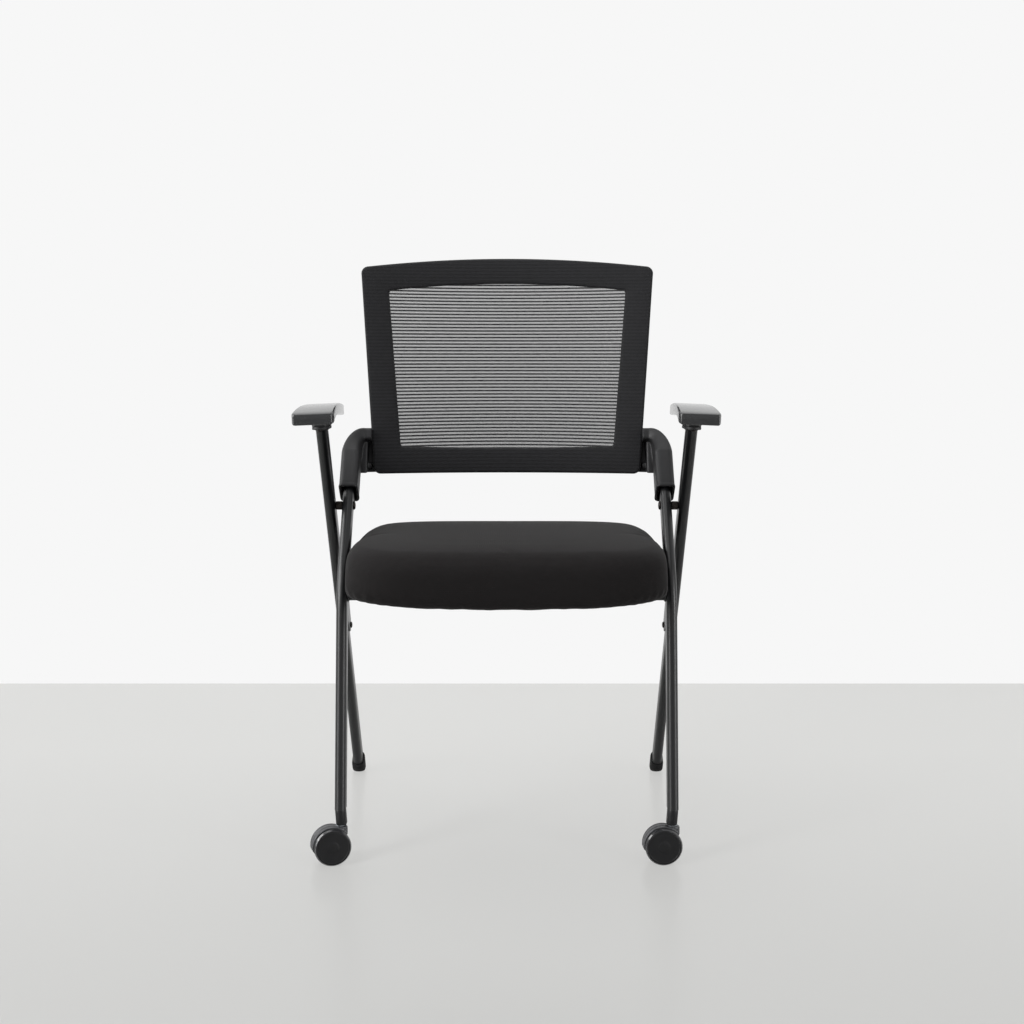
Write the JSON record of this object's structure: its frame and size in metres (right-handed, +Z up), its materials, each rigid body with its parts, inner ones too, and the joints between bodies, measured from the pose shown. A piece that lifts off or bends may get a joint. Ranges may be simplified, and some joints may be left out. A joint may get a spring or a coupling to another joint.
{
  "type": "nesting chair",
  "caption": "Folding nesting chair with a flip-up padded seat, bowed mesh back, arched arm pads, oval-tube X frame, front casters and rear rubber feet.",
  "frame": {"origin": "on the floor, below the middle of the whole chair's width and length", "axes": "+X to the right as seen from the front, +Y to the back of the chair, +Z up"},
  "size_m": [0.5798, 0.6192, 0.8691],
  "materials": {
    "black_tube": "semi-gloss black powder coat",
    "black_plastic": "matt moulded black",
    "grey_pad": "satin dark grey",
    "dark_rubber": "matt",
    "zinc_steel": "dark zinc",
    "black_steel": "black oxide",
    "seat_fabric": "woven black upholstery",
    "back_mesh": "stretched black mesh"
  },
  "bodies": {
    "front_frame": {"front_cross_tube": "black_tube", "back_frame": "black_plastic", "back_mesh": "back_mesh", "left_front_tube": "black_tube", "right_front_tube": "black_tube", "left_caster_socket": "black_plastic", "right_caster_socket": "black_plastic", "left_back_support": "black_plastic", "right_back_support": "black_plastic", "left_back_screw_low": "black_steel", "left_back_screw_high": "black_steel", "right_back_screw_low": "black_steel", "right_back_screw_high": "black_steel", "left_pivot_bolt": "black_steel", "right_pivot_bolt": "black_steel", "left_pivot_spacer": "zinc_steel", "right_pivot_spacer": "zinc_steel"},
    "rear_frame": {"rear_cross_tube": "black_tube", "left_rear_tube": "black_tube", "right_rear_tube": "black_tube", "left_pivot_nut": "zinc_steel", "right_pivot_nut": "zinc_steel", "left_foot_cap": "dark_rubber", "right_foot_cap": "dark_rubber", "left_bracket_plate": "black_tube", "right_bracket_plate": "black_tube", "left_bracket_bolt_low": "black_steel", "left_bracket_bolt_high": "black_steel", "right_bracket_bolt_low": "black_steel", "right_bracket_bolt_high": "black_steel", "left_arm_bracket": "black_plastic", "right_arm_bracket": "black_plastic", "left_arm_pad": "grey_pad", "right_arm_pad": "grey_pad", "left_arm_screw_front": "black_steel", "left_arm_screw_rear": "black_steel", "right_arm_screw_front": "black_steel", "right_arm_screw_rear": "black_steel"},
    "seat": {"seat_cushion": "seat_fabric", "seat_base": "black_plastic", "left_hinge_clamp": "black_plastic", "right_hinge_clamp": "black_plastic", "left_rest_pad": "dark_rubber", "right_rest_pad": "dark_rubber"},
    "left_swivel": {"left_caster_hood": "black_plastic", "left_caster_stem": "zinc_steel", "left_caster_axle": "zinc_steel"},
    "left_front_wheel": {"left_front_wheel": "black_plastic"},
    "left_back_wheel": {"left_back_wheel": "black_plastic"},
    "right_swivel": {"right_caster_hood": "black_plastic", "right_caster_stem": "zinc_steel", "right_caster_axle": "zinc_steel"},
    "right_front_wheel": {"right_front_wheel": "black_plastic"},
    "right_back_wheel": {"right_back_wheel": "black_plastic"}
  },
  "joints": [
    {"name": "frame_fold", "type": "hinge", "parent": "front_frame", "child": "rear_frame", "pos_m": [0, -0.03972, 0.495], "axis": [-1, 0, 0], "range_deg": [0, 30]},
    {"name": "seat_flip", "type": "hinge", "parent": "rear_frame", "child": "seat", "pos_m": [0, -0.01171, 0.374], "axis": [-1, 0, 0], "range_deg": [0, 60]},
    {"name": "left_caster_swivel", "type": "hinge", "parent": "front_frame", "child": "left_swivel", "pos_m": [-0.2359, -0.18971, 0.06], "axis": [0, 0, 1], "continuous": true},
    {"name": "left_front_wheel_spin", "type": "hinge", "parent": "left_swivel", "child": "left_front_wheel", "pos_m": [-0.24929, -0.19381, 0.0265], "axis": [-0.2924, 0.9563, 0], "continuous": true},
    {"name": "left_back_wheel_spin", "type": "hinge", "parent": "left_swivel", "child": "left_back_wheel", "pos_m": [-0.24929, -0.19381, 0.0265], "axis": [-0.2924, 0.9563, 0], "continuous": true},
    {"name": "right_caster_swivel", "type": "hinge", "parent": "front_frame", "child": "right_swivel", "pos_m": [0.2359, -0.18971, 0.06], "axis": [0, 0, 1], "continuous": true},
    {"name": "right_front_wheel_spin", "type": "hinge", "parent": "right_swivel", "child": "right_front_wheel", "pos_m": [0.22192, -0.19045, 0.0265], "axis": [-0.0523, 0.9986, 0], "continuous": true},
    {"name": "right_back_wheel_spin", "type": "hinge", "parent": "right_swivel", "child": "right_back_wheel", "pos_m": [0.22192, -0.19045, 0.0265], "axis": [-0.0523, 0.9986, 0], "continuous": true}
  ]
}
